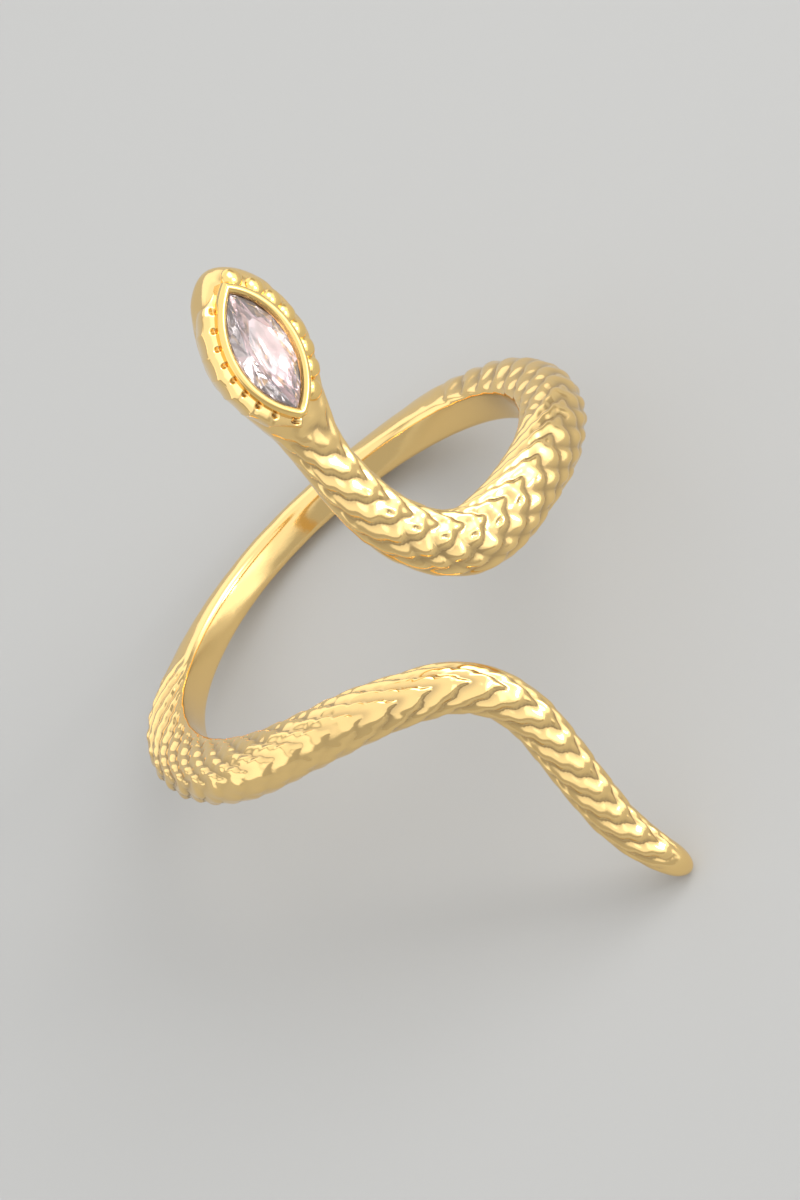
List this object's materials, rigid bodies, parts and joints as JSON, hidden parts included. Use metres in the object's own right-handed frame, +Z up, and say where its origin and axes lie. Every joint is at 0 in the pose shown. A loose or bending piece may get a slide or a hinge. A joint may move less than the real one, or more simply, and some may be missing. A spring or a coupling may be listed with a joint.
{
  "type": "snake wrap ring",
  "caption": "Ring shaped as a snake wrapped round the finger, its head with a set stone reaching one way and its tail the other.",
  "frame": {"origin": "centre of the ring's footprint box on the surface that it rests on", "axes": "+Z up from the surface, -Y towards the side where the head and tail are, +X to the right seen from there; the finger's axis leans back in the YZ plane"},
  "size_m": [0.022, 0.0244, 0.0246],
  "materials": {
    "gold_metal": "polished",
    "stone_glass": "polished"
  },
  "bodies": {
    "root": {"snake_band": "gold_metal", "stone": "stone_glass"}
  },
  "joints": []
}
